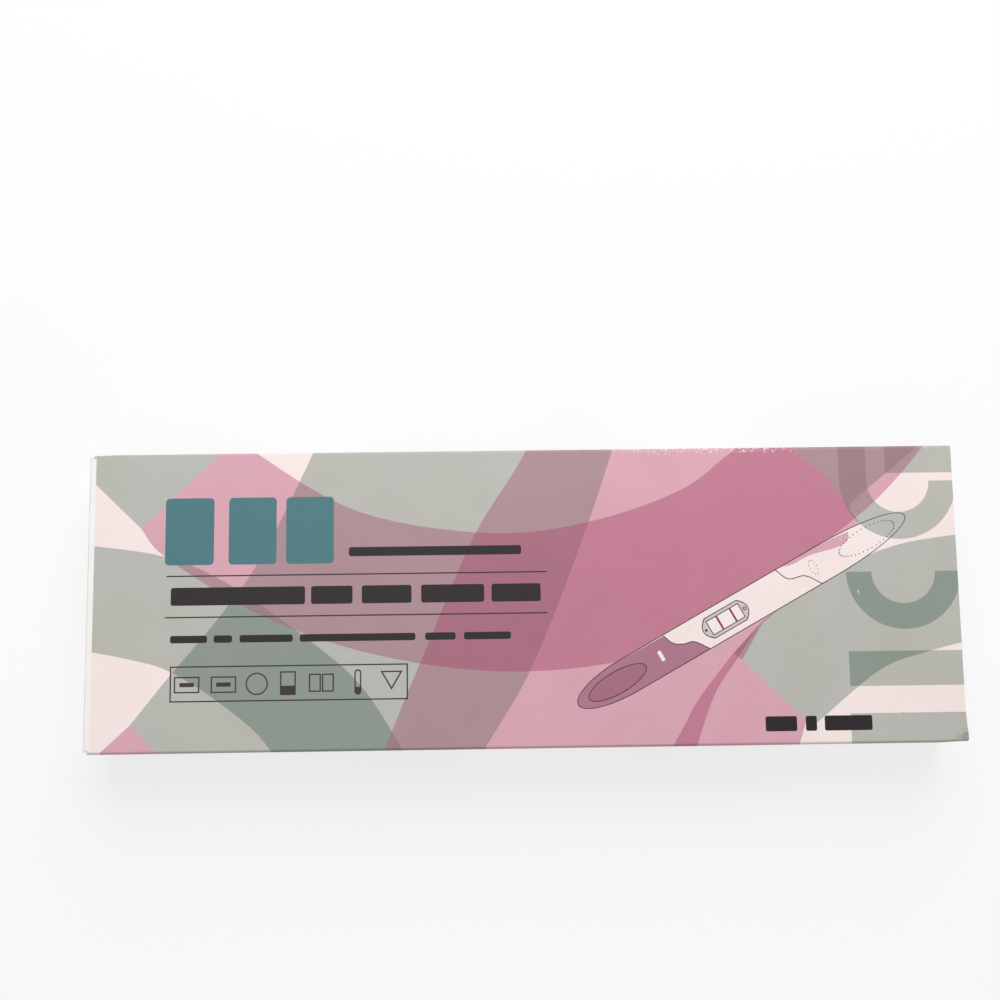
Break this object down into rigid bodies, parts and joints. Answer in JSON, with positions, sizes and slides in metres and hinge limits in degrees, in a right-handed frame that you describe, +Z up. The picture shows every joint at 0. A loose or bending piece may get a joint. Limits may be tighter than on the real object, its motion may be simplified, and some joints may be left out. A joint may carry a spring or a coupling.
{
  "type": "folding carton for a midstream pregnancy test",
  "caption": "Flat printed folding carton with a tuck flap at each end, holding a sealed foil pouch and a folded leaflet.",
  "frame": {"origin": "centre of the bounding box's base, on the surface under the back panel", "axes": "+X along the carton's length to its right end, +Y across its width, +Z up from the back panel to the front panel"},
  "size_m": [0.19, 0.065, 0.018],
  "materials": {
    "printed_board": "satin varnish over print",
    "plain_board": "satin",
    "pouch_film": "metallised film",
    "leaflet_paper": "matt"
  },
  "bodies": {
    "carton": {"carton_sleeve": "printed_board", "foil_pouch": "pouch_film", "instruction_leaflet": "leaflet_paper"},
    "left_flap": {"left_tuck_flap": "plain_board"},
    "right_flap": {"right_tuck_flap": "plain_board"}
  },
  "joints": [
    {"name": "left_flap_fold", "type": "hinge", "parent": "carton", "child": "left_flap", "pos_m": [-0.0946, 0, 0.0176], "axis": [0, 1, 0], "range_deg": [0, 180]},
    {"name": "right_flap_fold", "type": "hinge", "parent": "carton", "child": "right_flap", "pos_m": [0.0946, 0, 0.0004], "axis": [0, 1, 0], "range_deg": [0, 180]}
  ]
}
